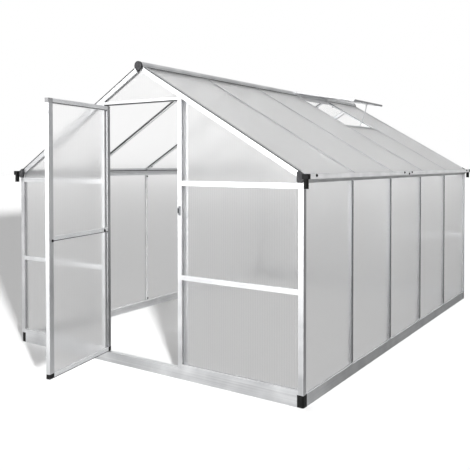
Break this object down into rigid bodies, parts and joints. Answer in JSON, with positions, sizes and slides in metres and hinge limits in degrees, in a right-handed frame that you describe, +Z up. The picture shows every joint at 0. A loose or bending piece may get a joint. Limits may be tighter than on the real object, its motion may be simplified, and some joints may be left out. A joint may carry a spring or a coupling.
{
  "type": "greenhouse",
  "caption": "Walk-in gabled greenhouse with an aluminium frame, translucent twin-wall panes, a hinged door in the gable, eave gutters and a raised roof vent.",
  "frame": {"origin": "on the ground, under the middle of the front base rail, at the centre of the doorway", "axes": "+X right when facing the door gable, +Y from the door gable to the rear gable, +Z up"},
  "size_m": [2.484, 3.9174, 1.9881],
  "materials": {
    "aluminium": "satin mill finish",
    "ridge_aluminium": "satin mill finish, darker",
    "steel": "brushed",
    "twin_wall_sheet": "translucent, fluted",
    "black_plastic": "moulded",
    "dark_plastic": "moulded"
  },
  "bodies": {
    "house": {"base_front": "aluminium", "base_rear": "aluminium", "base_left": "aluminium", "base_right": "aluminium", "base_feet": "black_plastic", "corner_posts": "aluminium", "front_sills": "aluminium", "rear_sills": "aluminium", "front_mid_rails": "aluminium", "rear_mid_rails": "aluminium", "front_eave_rails": "aluminium", "rear_eave_rails": "aluminium", "door_jambs": "aluminium", "door_head": "aluminium", "door_bushes": "black_plastic", "latch_keeper": "steel", "rear_posts": "aluminium", "rear_head": "aluminium", "front_panes": "twin_wall_sheet", "front_gable_panes": "twin_wall_sheet", "rear_panes": "twin_wall_sheet", "rear_gable_panes": "twin_wall_sheet", "wall_bars_left": "aluminium", "wall_bars_right": "aluminium", "wall_panes_left": "twin_wall_sheet", "wall_panes_right": "twin_wall_sheet", "eave_left": "aluminium", "eave_right": "aluminium", "eave_caps": "dark_plastic", "gutter_left": "aluminium", "gutter_right": "aluminium", "gutter_outlets": "black_plastic", "front_rafters": "aluminium", "rear_rafters": "aluminium", "roof_bars_left": "aluminium", "roof_bars_right": "aluminium", "roof_panes_left": "twin_wall_sheet", "roof_panes_right": "twin_wall_sheet", "ridge": "ridge_aluminium", "ridge_caps": "dark_plastic", "vent_trimmer": "aluminium", "vent_frame": "aluminium", "vent_pane": "twin_wall_sheet", "vent_stay": "aluminium"},
    "door": {"door_hinge_stile": "aluminium", "door_latch_stile": "aluminium", "door_rails": "aluminium", "door_panes": "twin_wall_sheet", "door_feet": "black_plastic", "door_tops": "dark_plastic"}
  },
  "joints": [
    {"name": "door_hinge", "type": "hinge", "parent": "house", "child": "door", "pos_m": [-0.299, 0, 0.07], "axis": [0, 0, 1], "range_deg": [-12, 78]}
  ]
}
